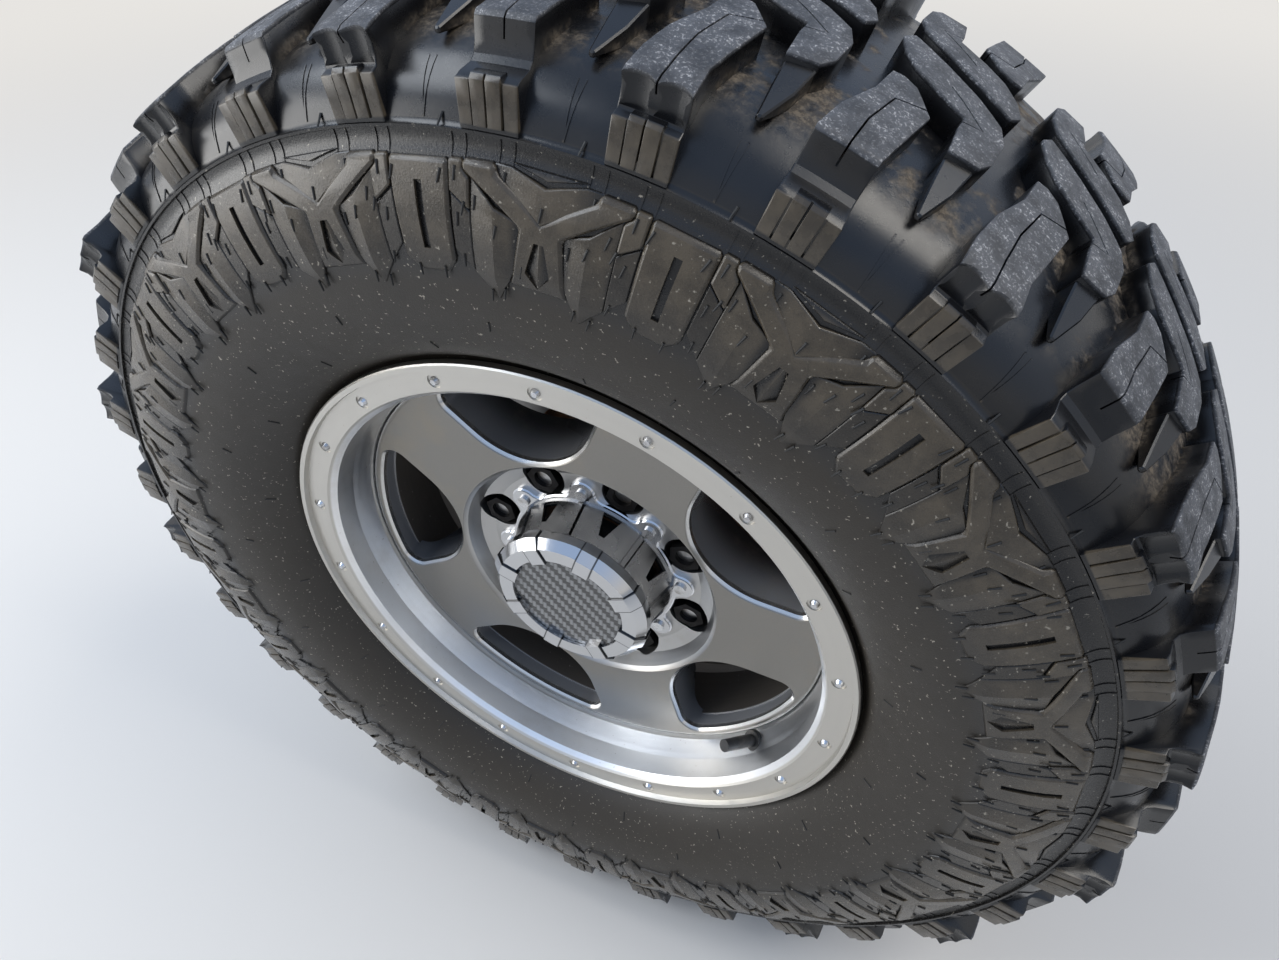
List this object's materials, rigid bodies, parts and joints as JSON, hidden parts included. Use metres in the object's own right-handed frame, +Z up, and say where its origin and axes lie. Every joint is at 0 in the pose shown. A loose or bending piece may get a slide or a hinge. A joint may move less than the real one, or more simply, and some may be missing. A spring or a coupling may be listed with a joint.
{
  "type": "off-road wheel with mud-terrain tyre on its axle end",
  "caption": "Off-road wheel end: chunky mud-terrain tyre, turned aluminium rim with spoke disc and tall hub cap, turning on a spindle with disc brake.",
  "frame": {"origin": "centre of the caliper bracket's inboard face, where the steering knuckle bolts on, on the wheel's axis", "axes": "+Z up, +Y along the wheel's axis and inboard, so the wheel's face looks towards -Y; +X to the right seen from outside"},
  "size_m": [0.8338, 0.28, 0.8338],
  "materials": {
    "tyre": "black-brown mud-terrain rubber with dusty lug tops",
    "machined_aluminium": "turned aluminium, bright, faint lathe lines",
    "disc_paint": "satin warm grey paint on the spokes",
    "chrome": "bright chrome",
    "carbon_weave": "dark twill weave under gloss",
    "nut_steel": "plated steel",
    "hub_iron": "rusty cast iron",
    "rotor_iron": "iron, swept bright where the pads run, rusty elsewhere",
    "caliper_iron": "rusty cast iron",
    "spindle_steel": "machined steel, dull",
    "shield_sheet": "dark sheet steel with rust bloom",
    "pad_lining": "dark friction lining",
    "valve_rubber": "black rubber",
    "valve_cap": "black plastic cap"
  },
  "bodies": {
    "axle_end": {"spindle": "spindle_steel", "spindle_nut": "spindle_steel", "splash_shield": "shield_sheet", "caliper_bracket": "caliper_iron", "brake_caliper": "caliper_iron", "brake_pads": "pad_lining", "slide_pins": "nut_steel"},
    "wheel": {"tyre": "tyre", "rim_barrel": "machined_aluminium", "lip_rivets": "chrome", "spoke_disc": "disc_paint", "lug_nuts": "nut_steel", "wheel_studs": "nut_steel", "hub": "hub_iron", "brake_rotor": "rotor_iron", "hub_cap_body": "chrome", "hub_cap_ring": "chrome", "hub_cap_insert": "carbon_weave", "hub_cap_screws": "nut_steel", "valve_stem": "valve_rubber", "valve_cap": "valve_cap"}
  },
  "joints": [
    {"name": "wheel_spin", "type": "hinge", "parent": "axle_end", "child": "wheel", "pos_m": [0, -0.115, 0], "axis": [0, 1, 0], "continuous": true}
  ]
}
